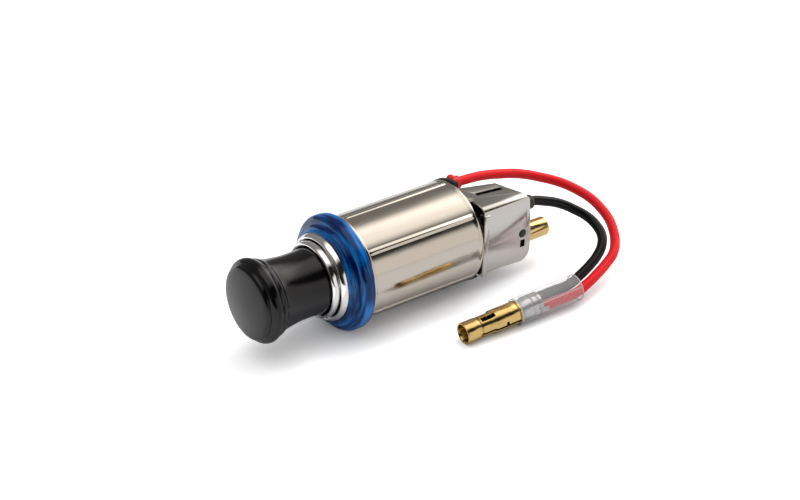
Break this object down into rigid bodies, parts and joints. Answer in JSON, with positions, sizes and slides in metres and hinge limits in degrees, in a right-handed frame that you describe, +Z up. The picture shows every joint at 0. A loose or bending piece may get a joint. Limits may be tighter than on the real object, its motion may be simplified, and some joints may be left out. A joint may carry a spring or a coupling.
{
  "type": "car cigarette lighter",
  "caption": "Push-in car lighter in a ribbed metal socket with a translucent lit ring, a lamp hood, a terminal pin and a wired lead that ends in a bullet connector.",
  "frame": {"origin": "centre of the bottom of the lighter's box without its lead, on the surface it lies on", "axes": "+X runs along the lighter from the knob to the terminal pin, +Z is up, and the lead curls round on the -Y side"},
  "size_m": [0.1133, 0.0513, 0.0328],
  "materials": {
    "chrome": "bright",
    "blue_plastic": "translucent gloss",
    "nickel": "bright nickel plate",
    "hood_nickel": "bright nickel plate",
    "black_disc": "satin",
    "brown_insulation": "satin",
    "bimetal": "satin",
    "brass": "bright",
    "connector_brass": "bright",
    "steel": "zinc plated",
    "spring_steel": "drawn wire",
    "heating_ribbon": "oxidised",
    "ceramic": "matt",
    "red_boot": "soft gloss",
    "black_rubber": "satin",
    "knob_plastic": "gloss",
    "bulb_glass": "clear",
    "red_wire": "soft satin",
    "black_wire": "soft satin",
    "clear_sleeve": "clear soft plastic"
  },
  "bodies": {
    "socket": {"socket_cup": "chrome", "glow_ring": "blue_plastic", "clamp_shell": "nickel", "end_disc": "black_disc", "insulating_bush": "brown_insulation", "bimetal_clip": "bimetal", "contact_bolt": "brass", "contact_washer": "steel", "contact_nut": "steel", "feed_strap": "brass", "red_boot": "red_boot", "lamp_hood": "hood_nickel", "hood_rivets": "steel", "terminal_pin": "brass", "lamp_holder": "black_disc", "lamp_cap": "brass", "lamp_bulb": "bulb_glass", "wire_grommet": "black_rubber", "red_wire": "red_wire", "black_wire": "black_wire", "clear_sleeve": "clear_sleeve", "bullet_connector": "connector_brass"},
    "plug": {"plug_sleeve": "chrome", "spring_seat": "steel", "return_spring": "spring_steel"},
    "knob": {"knob": "knob_plastic", "knob_insert": "steel", "plunger_rod": "steel", "heater_cup": "steel", "coil_insulator": "ceramic", "heating_coil": "heating_ribbon", "heater_rivet": "steel"}
  },
  "joints": [
    {"name": "plug_pull", "type": "slide", "parent": "socket", "child": "plug", "axis": [-0.9992, 0, 0.0403], "range_m": [0, 0.045]},
    {"name": "knob_press", "type": "slide", "parent": "plug", "child": "knob", "axis": [0.9992, 0, -0.0403], "range_m": [0, 0.006], "stiffness_N_per_m": 400, "springref_m": -0.005, "deforming": ["return_spring"]}
  ]
}
